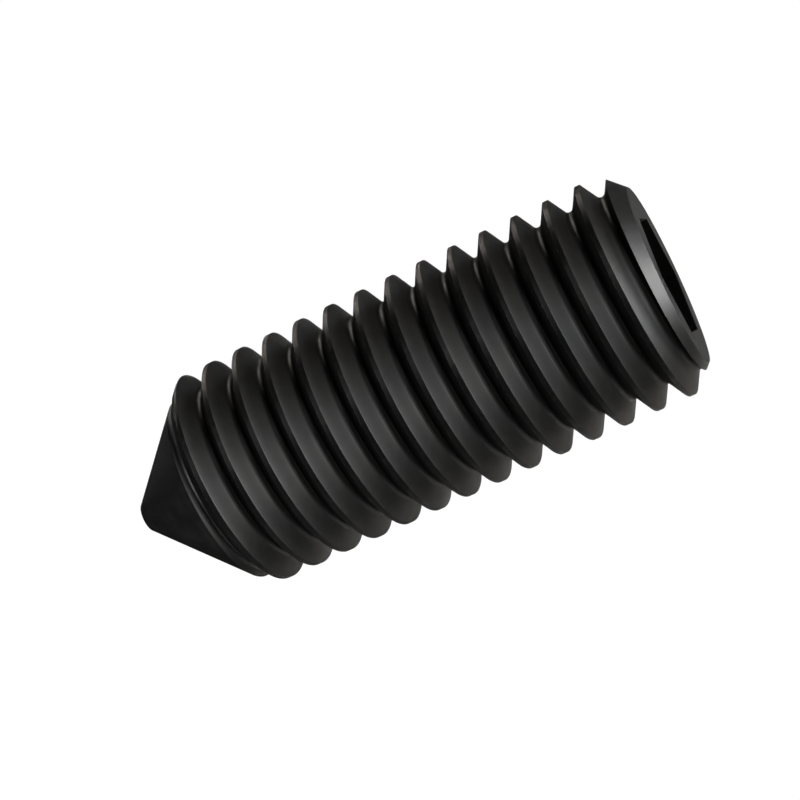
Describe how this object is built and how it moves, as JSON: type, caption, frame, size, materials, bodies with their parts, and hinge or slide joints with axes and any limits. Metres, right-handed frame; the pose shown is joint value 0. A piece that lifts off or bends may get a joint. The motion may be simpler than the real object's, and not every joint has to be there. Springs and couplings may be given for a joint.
{
  "type": "grub set screw",
  "caption": "Headless set screw with a full-length coarse thread, a hexagon socket in one end and a cone point at the other.",
  "frame": {"origin": "centre of the socket-end face, which the screw stands on", "axes": "+Z along the screw's axis, from the socket end to the cone point; a corner of the hexagon socket points to -Y"},
  "size_m": [0.0118, 0.0118, 0.03],
  "materials": {
    "black_oxide_steel": "hardened alloy steel with a satin black oxide finish"
  },
  "bodies": {
    "root": {"set_screw": "black_oxide_steel"}
  },
  "joints": []
}
